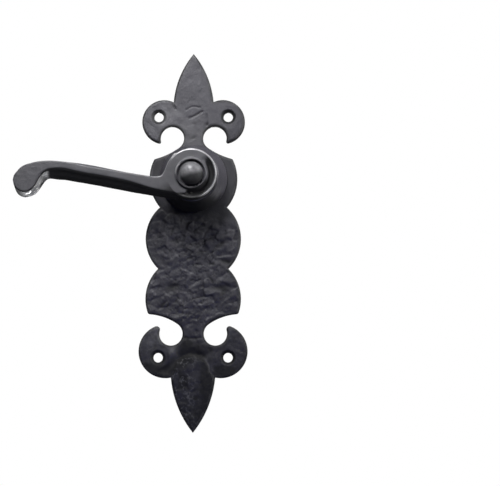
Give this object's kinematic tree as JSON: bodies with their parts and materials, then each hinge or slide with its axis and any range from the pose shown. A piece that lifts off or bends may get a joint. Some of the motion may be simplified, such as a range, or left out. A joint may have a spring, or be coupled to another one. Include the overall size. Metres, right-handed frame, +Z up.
{
  "type": "door lever handle",
  "caption": "Cast-iron door lever on a long fleur-de-lis backplate, sprung in a conical collar, with a square spindle through the door.",
  "frame": {"origin": "where the spindle's axis meets the back face of the plate, which is the door's face", "axes": "+Z up along the plate, +Y into the door along the spindle, front faces -Y, the lever points to -X"},
  "size_m": [0.1447, 0.0953, 0.24],
  "materials": {
    "cast_plate": "black antique, hammered casting",
    "cast_collar": "black antique, smooth casting",
    "cast_lever": "black antique, rubbed bright on the edges",
    "bronze": "turned bearing bronze",
    "washer_black": "moulded black nylon",
    "plain_steel": "drawn steel",
    "spring_steel": "oil-tempered spring steel",
    "zinc_plated": "bright zinc plate",
    "black_screw": "black oxide"
  },
  "bodies": {
    "plate_assembly": {"backplate": "cast_plate", "collar": "cast_collar", "collar_bush": "bronze", "bearing_washer": "washer_black", "thrust_washer": "plain_steel", "return_spring": "spring_steel", "cover_plate": "zinc_plated", "cover_screws": "zinc_plated"},
    "lever_assembly": {"lever": "cast_lever", "domed_cap": "cast_lever", "grub_screw": "black_screw", "circlips": "spring_steel", "drive_washer": "plain_steel", "spindle": "plain_steel"}
  },
  "joints": [
    {"name": "lever_turn", "type": "hinge", "parent": "plate_assembly", "child": "lever_assembly", "pos_m": [0, 0, 0], "axis": [0, -1, 0], "range_deg": [0, 45], "stiffness_Nm_per_rad": 0.9, "springref_deg": -34.38, "deforming": ["return_spring"]}
  ]
}
